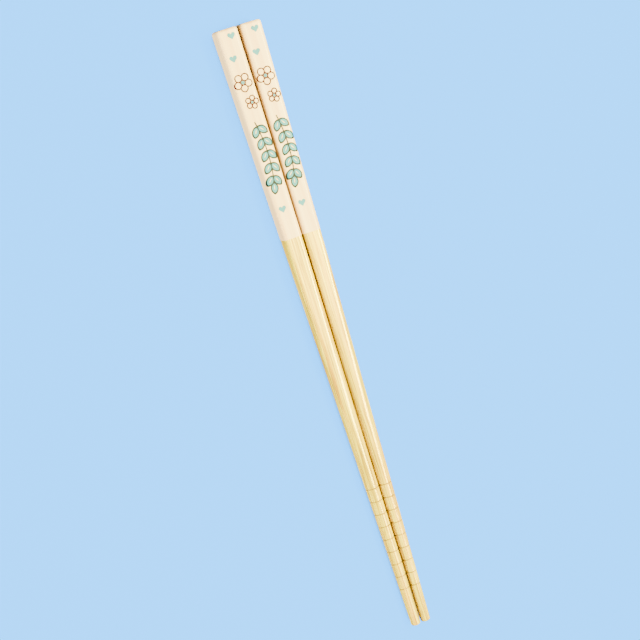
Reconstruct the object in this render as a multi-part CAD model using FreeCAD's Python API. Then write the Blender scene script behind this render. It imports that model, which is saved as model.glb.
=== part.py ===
import FreeCAD, Part
import math
import os

# A pair of bamboo chopsticks lying side by side on a flat surface.
# Each stick is a tapered square bar whose flats run out at the knee, round from there to the tip,
# with a ring of anti-slip grooves and a printed transfer film over the handle.
# Millimetres, +Z up, handles towards +Y, tips towards -Y, origin under the middle of the pair.
# A stick is drawn with its handle end at y = 0 and its tip at y = -stick_length.

# Stick
stick_length = 225.0
handle_width = 7.7
knee_width = 5.6
tip_width = 3.5
knee_from_handle = 145.0
squared_length = 80.0
corner_radius_squared = 1.3
handle_end_round = 1.0
tip_end_round = 0.7

# Anti-slip grooves
groove_count = 9
groove_pitch = 5.0
last_groove_from_tip = 15.0
groove_depth = 0.2
groove_width = 0.6

# Transfer film and the inks on it
film_length = 74.5
film_thickness = 0.06
ink_thickness = 0.03
line_width = 0.42
ink_clearance = 0.05

# Hearts, each by its distance from the handle end and its offset across the stick
heart_lobe_radius = 0.68
heart_point_drop = 1.65
heart_places = [(2.3, 0.9), (9.9, -0.9), (63.4, -0.6)]

# Line-drawn blossoms, each by distance, offset, petal circle, petal radius and turn in degrees
petal_count = 5
blossoms = [(18.7, -0.25, 2.0, 1.4, 0.0), (25.9, 0.75, 1.5, 1.06, 20.0)]

# Leaf sprig, its stem bowed towards +X
sprig_start = 32.5
sprig_end = 54.5
sprig_bow = 1.2
sprig_offset = -0.65
leaf_pairs = 5
leaf_length = 4.5
leaf_width = 2.8
leaf_spread = 36.0
first_pair_step = 0.35
last_leaf_share = 0.97
vein_width = 0.3
vein_start_share = 0.12
vein_share = 0.6

# How the pair lies
gap_at_knee = 0.05
gap_at_handle = 1.0

# Lengths shorter than this count as none
tolerance = 1e-3

taper_angle = math.atan2((handle_width - knee_width) / 2, knee_from_handle)
opening_each_side = (gap_at_handle - gap_at_knee) / 2
yaw_angle = math.atan2((handle_width - knee_width) / 2 + opening_each_side, knee_from_handle)


def half_width(distance, grow=0.0):
    """Half the width across the flats, or the radius past the knee, at a distance from the handle end."""
    if distance < knee_from_handle:
        share = distance / knee_from_handle
        return (handle_width + (knee_width - handle_width) * share) / 2 + grow
    share = (distance - knee_from_handle) / (stick_length - knee_from_handle)
    return (knee_width + (tip_width - knee_width) * share) / 2 + grow


def corner_radius(distance, grow=0.0):
    """The rounding of the four long edges: even on the squared length, then growing to round at the knee."""
    share = max(0.0, (distance - squared_length) / (knee_from_handle - squared_length))
    return corner_radius_squared + (knee_width / 2 - corner_radius_squared) * share + grow


def corner_arc(distance, quarter, grow):
    """One rounded corner of the section, with its first and last point."""
    radius = corner_radius(distance, grow)
    centre = half_width(distance, grow) - radius
    middle = math.radians(90 * quarter + 45)
    centre_x = math.copysign(centre, math.cos(middle))
    centre_z = math.copysign(centre, math.sin(middle))
    points = []
    for turn in (-45, 0, 45):
        angle = middle + math.radians(turn)
        x = centre_x + radius * math.cos(angle)
        z = centre_z + radius * math.sin(angle)
        points.append(FreeCAD.Vector(x, -distance, z))
    return Part.Arc(*points).toShape(), points[0], points[2]


def section_edges(corners):
    """The closed outline of a section: its four corner arcs and the straight sides that are left."""
    edges = []
    for quarter in range(4):
        arc, _, end = corners[quarter]
        next_start = corners[(quarter + 1) % 4][1]
        edges.append(arc)
        if end.distanceToPoint(next_start) > tolerance:
            edges.append(Part.LineSegment(end, next_start).toShape())
    return edges


def span(start, end, grow):
    """A solid length of the bar between two sections, with true flats and rounded corners between them."""
    near = [corner_arc(start, quarter, grow) for quarter in range(4)]
    far = [corner_arc(end, quarter, grow) for quarter in range(4)]
    faces = [Part.Face(Part.Wire(section_edges(near))), Part.Face(Part.Wire(section_edges(far)))]
    for quarter in range(4):
        following = (quarter + 1) % 4
        near_arc, _, near_end = near[quarter]
        far_arc, _, far_end = far[quarter]
        near_next = near[following][1]
        far_next = far[following][1]
        flat = [near_end, near_next, far_next, far_end, near_end]
        if far_end.distanceToPoint(far_next) <= tolerance:
            flat = [near_end, near_next, far_end, near_end]
        faces.append(Part.makeRuledSurface(near_arc, far_arc))
        faces.append(Part.Face(Part.makePolygon(flat)))
    shell = Part.makeShell(faces)
    shell.sewShape()
    solid = Part.makeSolid(shell)
    if solid.Volume < 0:
        solid.reverse()
    return solid


def squared_bar(grow=0.0):
    """The tapered square bar from the handle end to the knee, all of it larger by grow."""
    start = -grow
    bar = span(start, squared_length, grow).fuse(span(squared_length, knee_from_handle, grow))
    bar = bar.removeSplitter()
    end_edges = [edge for edge in bar.Edges if abs(edge.BoundBox.YMin + start) < tolerance]
    return bar.makeFillet(handle_end_round + grow, end_edges)


def round_taper():
    """The round cone from the knee to the tip, its end softly rounded."""
    start = FreeCAD.Vector(0, -knee_from_handle, 0)
    along = FreeCAD.Vector(0, -1, 0)
    cone = Part.makeCone(knee_width / 2, tip_width / 2, stick_length - knee_from_handle, start, along)
    tip_edges = [edge for edge in cone.Edges if abs(edge.BoundBox.YMax + stick_length) < tolerance]
    return cone.makeFillet(tip_end_round, tip_edges)


def groove(distance):
    """A ring of triangular section that cuts one V groove, standing as far out of the bar as into it."""
    surface = half_width(distance)
    corners = [
        FreeCAD.Vector(surface - groove_depth, -distance, 0),
        FreeCAD.Vector(surface + groove_depth, groove_width - distance, 0),
        FreeCAD.Vector(surface + groove_depth, -groove_width - distance, 0),
    ]
    section = Part.Face(Part.makePolygon(corners + corners[:1]))
    return section.revolve(FreeCAD.Vector(0, 0, 0), FreeCAD.Vector(0, 1, 0), 360)


def bamboo_stick():
    stick = squared_bar().fuse(round_taper())
    for step in range(groove_count):
        distance = stick_length - last_groove_from_tip - step * groove_pitch
        stick = stick.cut(groove(distance))
    return stick.Solids[0]


def layer(inner_grow, outer_grow):
    """A thin skin over the handle, as long as the film, between two distances from the bamboo."""
    block_width = 2 * handle_width
    corner = FreeCAD.Vector(-block_width / 2, -film_length, -block_width / 2)
    block = Part.makeBox(block_width, film_length + block_width, block_width, corner)
    return squared_bar(outer_grow).cut(squared_bar(inner_grow)).common(block)


def on_top(distance, across):
    return FreeCAD.Vector(across, -distance, 0)


def prism(face):
    """A flat shape as an upright block through the top and its rounded corners, clear of the side flats."""
    block = face.extrude(FreeCAD.Vector(0, 0, handle_width))
    block.translate(FreeCAD.Vector(0, 0, half_width(0.0) - corner_radius(0.0)))
    return block


def outlines(shapes, holes):
    """Blocks of the given flat shapes joined into one, less the flat shapes inside their lines."""
    blocks = [prism(shape) for shape in shapes]
    whole = blocks[0].multiFuse(blocks[1:]).removeSplitter()
    return whole.cut(Part.makeCompound([prism(hole) for hole in holes]))


def disc(distance, across, radius):
    circle = Part.Circle(on_top(distance, across), FreeCAD.Vector(0, 0, 1), radius)
    return Part.Face(Part.Wire(circle.toShape()))


def heart(distance, across):
    """Two round lobes towards the handle end and straight sides that meet in a point towards the tip."""
    radius = heart_lobe_radius
    slant = math.hypot(radius, heart_point_drop)
    side_angle = math.atan2(heart_point_drop, radius) - math.asin(radius / slant)
    side = math.sqrt(slant ** 2 - radius ** 2)
    point = FreeCAD.Vector(across, -distance - heart_point_drop, 0)
    notch = FreeCAD.Vector(across, -distance, 0)
    edges = []
    for hand in (1, -1):
        outer = point + FreeCAD.Vector(hand * side * math.cos(side_angle), side * math.sin(side_angle), 0)
        lobe = notch + FreeCAD.Vector(hand * radius, 0, 0)
        to_outer = outer - lobe
        to_notch = notch - lobe
        over = to_outer + to_notch
        over = over * (radius / over.Length)
        if over.y < 0:
            over = over * -1
        edges.append(Part.Arc(notch, lobe + over, outer).toShape())
        edges.append(Part.LineSegment(outer, point).toShape())
    return Part.Face(Part.Wire(Part.__sortEdges__(edges)))


def blossom_parts(distance, across, petal_circle, petal_radius, turn):
    """The outline of a flower of round petals, and its centre."""
    middle_radius = petal_circle - petal_radius
    shapes = [disc(distance, across, middle_radius + line_width)]
    holes = [disc(distance, across, middle_radius)]
    for petal in range(petal_count):
        angle = math.radians(turn + petal * 360 / petal_count)
        petal_distance = distance + petal_circle * math.cos(angle)
        petal_across = across + petal_circle * math.sin(angle)
        shapes.append(disc(petal_distance, petal_across, petal_radius))
        holes.append(disc(petal_distance, petal_across, petal_radius - line_width))
    return outlines(shapes, holes), prism(disc(distance, across, middle_radius - ink_clearance))


def blade(base, along, length, width):
    """A pointed leaf shape between two arcs."""
    beside = FreeCAD.Vector(-along.y, along.x, 0) * (width / 2)
    tip = base + along * length
    middle = base + along * (length / 2)
    upper = Part.Arc(base, middle + beside, tip).toShape()
    lower = Part.Arc(tip, middle - beside, base).toShape()
    return Part.Face(Part.Wire([upper, lower]))


def leaf_parts(base, along):
    """A leaf's whole shape, its field inside the line, and that field with the vein left open."""
    whole = blade(base, along, leaf_length, leaf_width)
    inset = line_width * leaf_length / leaf_width
    field_length = leaf_length - 2 * inset
    field_width = leaf_width - 2 * line_width
    field_start = base + along * inset
    field = blade(field_start, along, field_length, field_width)
    vein_start = field_start + along * (field_length * vein_start_share)
    vein = blade(vein_start, along, field_length * vein_share, vein_width)
    return whole, field, prism(field).cut(prism(vein))


def sprig_parts():
    """A bowed stem with leaves in pairs and one at its end."""
    reach = (sprig_end - sprig_start) / 2
    bow_radius = (reach ** 2 + sprig_bow ** 2) / (2 * sprig_bow)
    bow_angle = math.asin(reach / bow_radius)
    centre = on_top((sprig_start + sprig_end) / 2, sprig_offset + sprig_bow - bow_radius)

    def stem_point(share, radius=bow_radius):
        angle = bow_angle * (1 - 2 * share)
        return centre + FreeCAD.Vector(radius * math.cos(angle), radius * math.sin(angle), 0)

    def stem_direction(share):
        angle = bow_angle * (1 - 2 * share)
        return FreeCAD.Vector(math.sin(angle), -math.cos(angle), 0)

    outer_radius = bow_radius + line_width / 2
    inner_radius = bow_radius - line_width / 2
    outer = [stem_point(share, outer_radius) for share in (0, 0.5, 1)]
    inner = [stem_point(share, inner_radius) for share in (1, 0.5, 0)]
    stem_edges = [
        Part.Arc(*outer).toShape(),
        Part.LineSegment(outer[2], inner[0]).toShape(),
        Part.Arc(*inner).toShape(),
        Part.LineSegment(inner[2], outer[0]).toShape(),
    ]
    shapes = [Part.Face(Part.Wire(stem_edges))]
    holes = []
    fields = []
    up = FreeCAD.Vector(0, 0, 1)
    spots = [(last_leaf_share, 0.0)]
    for pair in range(leaf_pairs):
        share = (pair + first_pair_step) / leaf_pairs
        spots += [(share, leaf_spread), (share, -leaf_spread)]
    for share, spread in spots:
        along = FreeCAD.Rotation(up, spread).multVec(stem_direction(share))
        whole, hole, field = leaf_parts(stem_point(share), along)
        shapes.append(whole)
        holes.append(hole)
        fields.append(field)
    return outlines(shapes, holes), fields


def inked(blocks):
    """Ink on top of the film where the blocks meet it, one solid for each patch."""
    skin = layer(film_thickness, film_thickness + ink_thickness)
    patches = []
    for block in blocks:
        patches += skin.common(block).Solids
    return Part.makeCompound(patches)


def one_stick():
    """Every piece of one chopstick, by name, before it is laid down."""
    mint_blocks = [prism(heart(distance, across)) for distance, across in heart_places]
    brown_blocks = []
    for place in blossoms:
        outline, centre = blossom_parts(*place)
        brown_blocks.append(outline)
        mint_blocks.append(centre)
    sprig_lines, leaf_blocks = sprig_parts()
    return {
        "chopstick": bamboo_stick(),
        "print_film": layer(0.0, film_thickness).Solids[0],
        "mint_ink": inked(mint_blocks + leaf_blocks),
        "green_line_ink": inked([sprig_lines]),
        "brown_line_ink": inked(brown_blocks),
    }


def lying(shape, side):
    """Pitched so that the flat underside is level, yawed against its neighbour and set down on z = 0.
    side is -1 for the left stick and 1 for the right one."""
    across = FreeCAD.Vector(1, 0, 0)
    up = FreeCAD.Vector(0, 0, 1)
    pitch = FreeCAD.Rotation(across, math.degrees(taper_angle))
    yaw = FreeCAD.Rotation(up, -side * math.degrees(yaw_angle))
    knee_inside = half_width(knee_from_handle) * math.cos(yaw_angle)
    knee_inside += knee_from_handle * math.cos(taper_angle) * math.sin(yaw_angle)
    offset = side * (gap_at_knee / 2 + knee_inside)
    lift = half_width(0.0, film_thickness) * math.cos(taper_angle)
    middle = stick_length / 2
    placed = shape.copy()
    placed.Placement = FreeCAD.Placement(FreeCAD.Vector(offset, middle, lift), yaw.multiply(pitch))
    return placed


def main():
    os.makedirs("parts", exist_ok=True)
    pieces = one_stick()
    placed = {}
    for side_name, side in (("left", -1), ("right", 1)):
        for name, shape in pieces.items():
            placed[f"{name}_{side_name}"] = lying(shape, side)
    box = Part.makeCompound(list(placed.values())).optimalBoundingBox(False, False)
    for name, shape in placed.items():
        shape.translate(FreeCAD.Vector(0, -box.Center.y, 0))
        shape.exportStep(f"parts/{name}.step")
        print(name, len(shape.Solids), shape.isValid(), round(shape.Volume, 4))
    print("box", round(box.XLength, 3), round(box.YLength, 3), round(box.ZLength, 3))


main()
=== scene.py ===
import math

import bpy
from mathutils import Matrix, Vector

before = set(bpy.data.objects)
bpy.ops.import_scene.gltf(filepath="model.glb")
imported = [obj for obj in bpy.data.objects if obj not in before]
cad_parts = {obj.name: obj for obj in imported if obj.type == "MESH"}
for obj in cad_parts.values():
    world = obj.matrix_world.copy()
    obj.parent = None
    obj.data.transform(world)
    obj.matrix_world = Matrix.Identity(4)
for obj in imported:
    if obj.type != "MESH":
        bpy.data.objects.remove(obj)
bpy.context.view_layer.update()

SIDES = ("left", "right")
WHITE = (1.0, 1.0, 1.0)

# Fibre patterns, each with its waves in a metre across the grain and along it, and its detail
FIBRES = (
    ("Grain", 1900.0, 26.0, 4.0),
    ("Streaks", 520.0, 11.0, 2.0),
    ("Flecks", 4200.0, 170.0, 1.0),
)
FIBRE_BREAKUP = 0.55

# The grain values at which a satin surface is smoothest and roughest, and the height of its relief
GRAIN_LOW = 0.3
GRAIN_HIGH = 0.7
RELIEF_DEPTH = 0.00004

# Bamboo tones, each after the pattern value at which it stands
BODY_TONES = ((0.36, (0.44, 0.30, 0.008)), (0.50, (0.72, 0.57, 0.018)), (0.64, (0.96, 0.84, 0.055)))
STREAK_TONES = ((0.38, (0.80, 0.60, 1.0)), (0.50, WHITE), (0.62, (0.72, 0.77, 0.36)))
STREAK_STRENGTH = 0.8
FLECK_TONES = ((0.27, (0.60, 0.44, 0.26)), (0.35, WHITE))
FLECK_STRENGTH = 0.7
# A darker tone drawn along each groove near the tip
GROOVE_DARK_TONE = (0.22, 0.14, 0.035)
END_GRAIN = (0.46, 0.30, 0.05)
END_GRAIN_STARTS = -0.55
END_GRAIN_FULL = -0.95

# Lacquer on the bamboo
BAMBOO_FINENESS = 1.0
BAMBOO_SATIN = {"Smoothest": 0.24, "Roughest": 0.33, "Relief": 0.14}
BAMBOO_IOR = 2.3
BAMBOO_GLINT = (1.0, 0.86, 0.24, 1.0)
BAMBOO_COAT = 0.15
BAMBOO_COAT_ROUGHNESS = 0.22

# Printed layers: name, light tone, dark tone, smoothest, roughest, specular level and coat
PRINTS = {
    "print_film": ("cream film", (0.93, 0.76, 0.50), (0.80, 0.58, 0.35), 0.32, 0.42, 0.45, 0.25),
    "mint_ink": ("mint ink", (0.055, 0.31, 0.52), (0.042, 0.26, 0.44), 0.38, 0.50, 0.15, 0.05),
    "green_line_ink": (
        "green line ink", (0.008, 0.021, 0.028), (0.006, 0.017, 0.022), 0.40, 0.52, 0.15, 0.05,
    ),
    "brown_line_ink": (
        "brown line ink", (0.060, 0.004, 0.004), (0.045, 0.003, 0.003), 0.40, 0.52, 0.15, 0.05,
    ),
}
PRINT_FINENESS = 0.6
PRINT_DARK_AT = 0.38
PRINT_LIGHT_AT = 0.60
PRINT_RELIEF = 0.07
PRINT_COAT_ROUGHNESS = 0.2

# Painted shade between the sticks: tones that darken a colour where the sticks stand close, each after the
# openness at which it stands
SEAM_REACH = 0.004
SHELTER_SAMPLES = 12
BAMBOO_SEAM_SHADE = ((0.20, (0.38, 0.30, 0.11)), (0.85, WHITE))
PRINT_SEAM_SHADE = ((0.15, (0.52, 0.48, 0.48)), (0.75, WHITE))

# Grooves near the tip
STICK_LENGTH = 0.225
LAST_GROOVE_FROM_TIP = 0.015
GROOVE_PITCH = 0.005
GROOVE_COUNT = 9
GROOVE_DARK_WIDTH = 0.0006

# The room that the pair lies in
ROOM_RADIUS = 3.0
ROOM_HEIGHT = 3.0
ROOM_SIDES = 96
GROUND_WAVES = 3.0
GROUND_TONES = ((0.3, (0.001, 0.024, 0.09)), (0.7, (0.001, 0.026, 0.10)))
GROUND_ROUGHNESS = 0.9
# Painted shadow on the ground: how far it reaches from the sticks, and the glow's tones after openness,
# from warm dark gold in the shadow to the even blue
GROUND_SHADOW_REACH = 0.008
GROUND_GLOW_AND_PAINTED_SHADOW = ((0.30, (0.060, 0.038, 0.006)), (0.52, (0.0, 0.340, 1.0)))
GROUND_GLOW_STRENGTH = 5.0

# Soft boxes: place, length along the sticks, height, watts and colour
KEY = ((0.47, 0.05, 0.81), 0.9, 0.24, 85.0, (1.0, 0.82, 0.31))
FILL = ((-1.00, -0.05, 0.14), 1.0, 0.35, 47.0, (1.0, 0.87, 0.56))
AIR_COLOUR = (1.0, 0.90, 0.70, 1.0)
AIR_STRENGTH = 0.07

# Camera, read from the photograph: where it stands, how it is turned and how long its lens is
CAMERA_PLACE = (-0.13721, 0.10827, 0.51472)
CAMERA_PAN = math.radians(-14.76)
CAMERA_TILT = math.radians(10.85)
CAMERA_ROLL = math.radians(-17.45)
CAMERA_NEAR = 0.01
FOCAL_PIXELS = 1530.8
FRAME_PIXELS = 640
SENSOR_WIDTH = 36.0


def new_material(name):
    """An empty node material with its Principled shader and its output joined."""
    material = bpy.data.materials.new(name)
    material.use_nodes = True
    nodes = material.node_tree.nodes
    nodes.clear()
    shader = nodes.new("ShaderNodeBsdfPrincipled")
    output = nodes.new("ShaderNodeOutputMaterial")
    material.node_tree.links.new(shader.outputs["BSDF"], output.inputs["Surface"])
    return material, nodes, material.node_tree.links, shader


def new_group(name, inputs, outputs):
    """A node group with number inputs and their usual values, and outputs of the given kinds."""
    group = bpy.data.node_groups.new(name, "ShaderNodeTree")
    face = group.interface
    for socket, usual in inputs:
        face.new_socket(socket, in_out="INPUT", socket_type="NodeSocketFloat").default_value = usual
    for socket, kind in outputs:
        face.new_socket(socket, in_out="OUTPUT", socket_type=kind)
    entry = group.nodes.new("NodeGroupInput")
    leave = group.nodes.new("NodeGroupOutput")
    return group, group.nodes, group.links, entry, leave


def placed(nodes, group, values):
    """A node group in a material, with the material's own values."""
    node = nodes.new("ShaderNodeGroup")
    node.node_tree = group
    for name, value in values.items():
        node.inputs[name].default_value = value
    return node


def ramp(nodes, links, factor, stops):
    """The colour that a ramp through the given places and colours gives for a factor."""
    node = nodes.new("ShaderNodeValToRGB")
    elements = node.color_ramp.elements
    while len(elements) < len(stops):
        elements.new(0.5)
    for element, (place, colour) in zip(elements, stops):
        element.position = place
        element.color = (*colour, 1.0)
    links.new(factor, node.inputs["Fac"])
    return node.outputs["Color"]


def mixed(nodes, links, factor, first, second, blend="MIX"):
    """A colour mix whose factor and colours are sockets or plain values."""
    node = nodes.new("ShaderNodeMix")
    node.data_type = "RGBA"
    node.blend_type = blend
    for index, value in ((0, factor), (6, first), (7, second)):
        socket = node.inputs[index]
        if isinstance(value, bpy.types.NodeSocket):
            links.new(value, socket)
        elif isinstance(value, tuple):
            socket.default_value = (*value, 1.0)
        else:
            socket.default_value = value
    return node.outputs[2]


def fibre_group():
    """Long bamboo fibres along Y: a fine grain, broad soft streaks and short dark flecks."""
    outputs = [(name, "NodeSocketFloat") for name, across, along, detail in FIBRES]
    group, nodes, links, entry, leave = new_group("bamboo fibres", [("Fineness", 1.0)], outputs)
    place = nodes.new("ShaderNodeTexCoord")
    finer = nodes.new("ShaderNodeVectorMath")
    finer.operation = "SCALE"
    links.new(place.outputs["Object"], finer.inputs["Vector"])
    links.new(entry.outputs["Fineness"], finer.inputs["Scale"])
    for name, across, along, detail in FIBRES:
        drawn_out = nodes.new("ShaderNodeVectorMath")
        drawn_out.operation = "MULTIPLY"
        drawn_out.inputs[1].default_value = (across, along, across)
        links.new(finer.outputs["Vector"], drawn_out.inputs[0])
        noise = nodes.new("ShaderNodeTexNoise")
        noise.inputs["Scale"].default_value = 1.0
        noise.inputs["Detail"].default_value = detail
        noise.inputs["Roughness"].default_value = FIBRE_BREAKUP
        links.new(drawn_out.outputs["Vector"], noise.inputs["Vector"])
        links.new(noise.outputs["Fac"], leave.inputs[name])
    return group


def satin_group():
    """A satin surface from the grain: a roughness between two values and a fine relief."""
    group, nodes, links, entry, leave = new_group(
        "satin surface",
        [("Grain", 0.5), ("Smoothest", 0.3), ("Roughest", 0.4), ("Relief", 0.1)],
        [("Roughness", "NodeSocketFloat"), ("Normal", "NodeSocketVector")],
    )
    gloss = nodes.new("ShaderNodeMapRange")
    gloss.inputs["From Min"].default_value = GRAIN_LOW
    gloss.inputs["From Max"].default_value = GRAIN_HIGH
    links.new(entry.outputs["Grain"], gloss.inputs["Value"])
    links.new(entry.outputs["Smoothest"], gloss.inputs["To Min"])
    links.new(entry.outputs["Roughest"], gloss.inputs["To Max"])
    links.new(gloss.outputs["Result"], leave.inputs["Roughness"])
    bump = nodes.new("ShaderNodeBump")
    bump.inputs["Distance"].default_value = RELIEF_DEPTH
    links.new(entry.outputs["Relief"], bump.inputs["Strength"])
    links.new(entry.outputs["Grain"], bump.inputs["Height"])
    links.new(bump.outputs["Normal"], leave.inputs["Normal"])
    return group


def shade_openness_group():
    """How open each spot is to the room: one in the open and nought deep in a narrow gap. It sets the
    painted shade between the sticks and the painted shadow on the ground.
    """
    group, nodes, links, entry, leave = new_group(
        "shade_openness", [("Reach", SEAM_REACH)], [("Openness", "NodeSocketFloat")],
    )
    around = nodes.new("ShaderNodeAmbientOcclusion")
    around.samples = SHELTER_SAMPLES
    links.new(entry.outputs["Reach"], around.inputs["Distance"])
    links.new(around.outputs["AO"], leave.inputs["Openness"])
    return group


def groove_mask(nodes, links):
    """One in each groove and nought between them, from the distance along the stick."""
    place = nodes.new("ShaderNodeTexCoord")
    parts = nodes.new("ShaderNodeSeparateXYZ")
    links.new(place.outputs["Object"], parts.inputs["Vector"])
    first_groove = -STICK_LENGTH / 2 + LAST_GROOVE_FROM_TIP
    last_groove = first_groove + (GROOVE_COUNT - 1) * GROOVE_PITCH

    def math_node(operation, first, second=None):
        node = nodes.new("ShaderNodeMath")
        node.operation = operation
        for socket, value in zip(node.inputs, (first, second)):
            if isinstance(value, bpy.types.NodeSocket):
                links.new(value, socket)
            elif value is not None:
                socket.default_value = value
        return node.outputs["Value"]

    along = math_node("SUBTRACT", parts.outputs["Y"], first_groove - GROOVE_PITCH / 2)
    within = math_node("MODULO", along, GROOVE_PITCH)
    off_centre = math_node("ABSOLUTE", math_node("SUBTRACT", within, GROOVE_PITCH / 2))
    fading = nodes.new("ShaderNodeMapRange")
    fading.interpolation_type = "SMOOTHSTEP"
    fading.inputs["From Max"].default_value = GROOVE_DARK_WIDTH / 2
    fading.inputs["To Min"].default_value = 1.0
    fading.inputs["To Max"].default_value = 0.0
    links.new(off_centre, fading.inputs["Value"])
    after_first = math_node("GREATER_THAN", parts.outputs["Y"], first_groove - GROOVE_PITCH / 2)
    before_last = math_node("LESS_THAN", parts.outputs["Y"], last_groove + GROOVE_PITCH / 2)
    grooved = math_node("MULTIPLY", after_first, before_last)
    return math_node("MULTIPLY", fading.outputs["Result"], grooved)


def end_grain_mask(nodes, links):
    """One on the tip's cut end and nought along the stick."""
    place = nodes.new("ShaderNodeTexCoord")
    parts = nodes.new("ShaderNodeSeparateXYZ")
    links.new(place.outputs["Normal"], parts.inputs["Vector"])
    facing = nodes.new("ShaderNodeMapRange")
    facing.inputs["From Min"].default_value = END_GRAIN_STARTS
    facing.inputs["From Max"].default_value = END_GRAIN_FULL
    links.new(parts.outputs["Y"], facing.inputs["Value"])
    return facing.outputs["Result"]


def satin(nodes, links, shader, grain, surface, values):
    """Gives the shader the satin surface that the grain makes."""
    node = placed(nodes, surface, values)
    links.new(grain.outputs["Grain"], node.inputs["Grain"])
    links.new(node.outputs["Roughness"], shader.inputs["Roughness"])
    links.new(node.outputs["Normal"], shader.inputs["Normal"])


def painted_seam_shade(nodes, links, shade_openness, colour, stops):
    """A colour with painted shade where the two sticks stand close to each other."""
    near = placed(nodes, shade_openness, {"Reach": SEAM_REACH})
    depth = ramp(nodes, links, near.outputs["Openness"], stops)
    return mixed(nodes, links, 1.0, colour, depth, "MULTIPLY")


def bamboo(fibres, surface, shade_openness):
    """Pale bamboo under clear lacquer, darker in the grooves and on the cut end, with painted shade between
    the sticks.
    """
    material, nodes, links, shader = new_material("lacquered bamboo")
    grain = placed(nodes, fibres, {"Fineness": BAMBOO_FINENESS})
    body = ramp(nodes, links, grain.outputs["Grain"], BODY_TONES)
    streaks = ramp(nodes, links, grain.outputs["Streaks"], STREAK_TONES)
    streaked = mixed(nodes, links, STREAK_STRENGTH, body, streaks, "MULTIPLY")
    flecks = ramp(nodes, links, grain.outputs["Flecks"], FLECK_TONES)
    flecked = mixed(nodes, links, FLECK_STRENGTH, streaked, flecks, "MULTIPLY")
    # Darker lines along the grooves
    groove_darkened = mixed(nodes, links, groove_mask(nodes, links), flecked, GROOVE_DARK_TONE)
    ended = mixed(nodes, links, end_grain_mask(nodes, links), groove_darkened, END_GRAIN)
    # Painted shade: the bamboo's colour darkens where the sticks stand close to each other
    links.new(painted_seam_shade(nodes, links, shade_openness, ended, BAMBOO_SEAM_SHADE), shader.inputs["Base Color"])
    satin(nodes, links, shader, grain, surface, BAMBOO_SATIN)
    shader.inputs["IOR"].default_value = BAMBOO_IOR
    shader.inputs["Specular Tint"].default_value = BAMBOO_GLINT
    shader.inputs["Coat Weight"].default_value = BAMBOO_COAT
    shader.inputs["Coat Roughness"].default_value = BAMBOO_COAT_ROUGHNESS
    return material


def printed(name, light, dark, smoothest, roughest, specular, coat, fibres, surface, shade_openness):
    """A thin printed layer over the bamboo, its tone drifting softly with the streaks below it, with
    painted shade where the sticks stand close.
    """
    material, nodes, links, shader = new_material(name)
    grain = placed(nodes, fibres, {"Fineness": PRINT_FINENESS})
    tones = ((PRINT_DARK_AT, dark), (PRINT_LIGHT_AT, light))
    tint = ramp(nodes, links, grain.outputs["Streaks"], tones)
    # Painted shade: the print's colour darkens where the sticks stand close to each other
    links.new(painted_seam_shade(nodes, links, shade_openness, tint, PRINT_SEAM_SHADE), shader.inputs["Base Color"])
    values = {"Smoothest": smoothest, "Roughest": roughest, "Relief": PRINT_RELIEF}
    satin(nodes, links, shader, grain, surface, values)
    shader.inputs["Specular IOR Level"].default_value = specular
    shader.inputs["Coat Weight"].default_value = coat
    shader.inputs["Coat Roughness"].default_value = PRINT_COAT_ROUGHNESS
    return material


def dress(finishes):
    """Gives each piece of both sticks its finish."""
    for side in SIDES:
        for piece, material in finishes.items():
            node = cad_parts[f"{piece}_{side}"]
            node.data.materials.clear()
            node.data.materials.append(material)


def floor(shade_openness):
    """The plain pale blue ground that the pair lies on, with walls in the same blue.
    They glow evenly and cast no blue light on the bamboo; below and between the sticks their glow darkens
    to a painted shadow of warm dark gold."""
    bpy.ops.object.select_all(action="DESELECT")
    bpy.ops.mesh.primitive_cylinder_add(
        vertices=ROOM_SIDES, radius=ROOM_RADIUS, depth=ROOM_HEIGHT, location=(0, 0, ROOM_HEIGHT / 2),
    )
    ground = bpy.context.object
    ground.name = "ground"
    material, nodes, links, shader = new_material("pale blue ground")
    place = nodes.new("ShaderNodeTexCoord")
    noise = nodes.new("ShaderNodeTexNoise")
    noise.inputs["Scale"].default_value = GROUND_WAVES
    links.new(place.outputs["Object"], noise.inputs["Vector"])
    links.new(ramp(nodes, links, noise.outputs["Fac"], GROUND_TONES), shader.inputs["Base Color"])
    shader.inputs["Roughness"].default_value = GROUND_ROUGHNESS
    shader.inputs["Specular IOR Level"].default_value = 0.0
    # Painted shadow: the glow darkens to warm dark gold where the sticks close the ground in, below and
    # between them
    below = placed(nodes, shade_openness, {"Reach": GROUND_SHADOW_REACH})
    glow = ramp(nodes, links, below.outputs["Openness"], GROUND_GLOW_AND_PAINTED_SHADOW)
    links.new(glow, shader.inputs["Emission Color"])
    shader.inputs["Emission Strength"].default_value = GROUND_GLOW_STRENGTH
    ground.data.materials.append(material)
    ground.visible_diffuse = False
    ground.visible_glossy = False
    ground.visible_shadow = False


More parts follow.
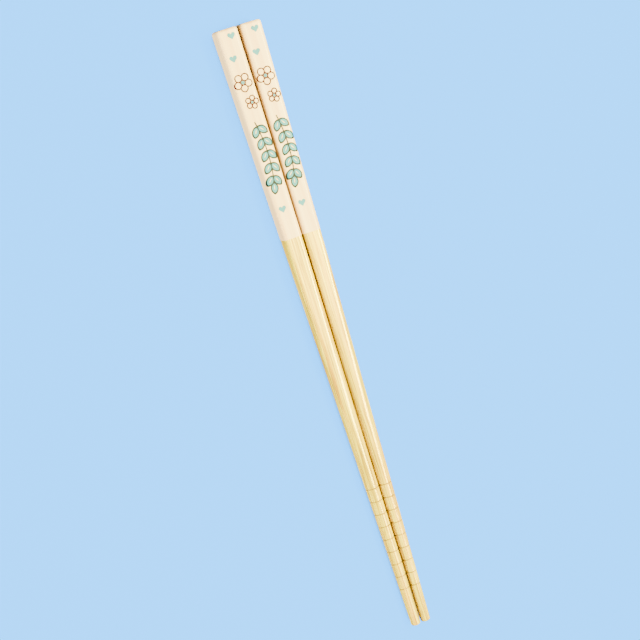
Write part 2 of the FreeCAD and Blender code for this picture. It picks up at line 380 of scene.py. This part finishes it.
def soft_box(name, place, along, high, watts, colour):
    """A soft box that looks at the middle of the pair, its long side along the sticks."""
    data = bpy.data.lights.new(name, "AREA")
    data.shape = "RECTANGLE"
    data.size = along
    data.size_y = high
    data.energy = watts
    data.color = colour
    light = bpy.data.objects.new(name, data)
    bpy.context.collection.objects.link(light)
    light.location = place
    light.rotation_mode = "QUATERNION"
    light.rotation_quaternion = (-Vector(place)).to_track_quat("-Z", "Y")
    return light


def lights():
    """A soft key from the right, a low fill from the left that shows in no reflection, and warm air."""
    soft_box("key", *KEY)
    soft_box("fill", *FILL).visible_glossy = False
    world = bpy.data.worlds.new("soft room")
    world.use_nodes = True
    background = world.node_tree.nodes["Background"]
    background.inputs["Color"].default_value = AIR_COLOUR
    background.inputs["Strength"].default_value = AIR_STRENGTH
    bpy.context.scene.world = world


def camera():
    """Looks down on the pair from the handles' side, turned so that the handles point to the upper left."""
    back = Vector((
        math.sin(CAMERA_PAN) * math.cos(CAMERA_TILT),
        math.sin(CAMERA_TILT),
        math.cos(CAMERA_PAN) * math.cos(CAMERA_TILT),
    ))
    level_right = Vector((0, 1, 0)).cross(back).normalized()
    level_up = back.cross(level_right)
    right = level_right * math.cos(CAMERA_ROLL) + level_up * math.sin(CAMERA_ROLL)
    up = level_up * math.cos(CAMERA_ROLL) - level_right * math.sin(CAMERA_ROLL)
    data = bpy.data.cameras.new("camera")
    data.sensor_width = SENSOR_WIDTH
    data.lens = FOCAL_PIXELS / FRAME_PIXELS * SENSOR_WIDTH
    data.clip_start = CAMERA_NEAR
    viewer = bpy.data.objects.new("camera", data)
    bpy.context.collection.objects.link(viewer)
    turn = Matrix((right, up, back)).transposed().to_4x4()
    viewer.matrix_world = Matrix.Translation(CAMERA_PLACE) @ turn
    bpy.context.scene.camera = viewer


effects = (fibre_group(), satin_group(), shade_openness_group())
finishes = {"chopstick": bamboo(*effects)}
for piece, finish in PRINTS.items():
    finishes[piece] = printed(*finish, *effects)
dress(finishes)
floor(effects[2])
lights()
camera()
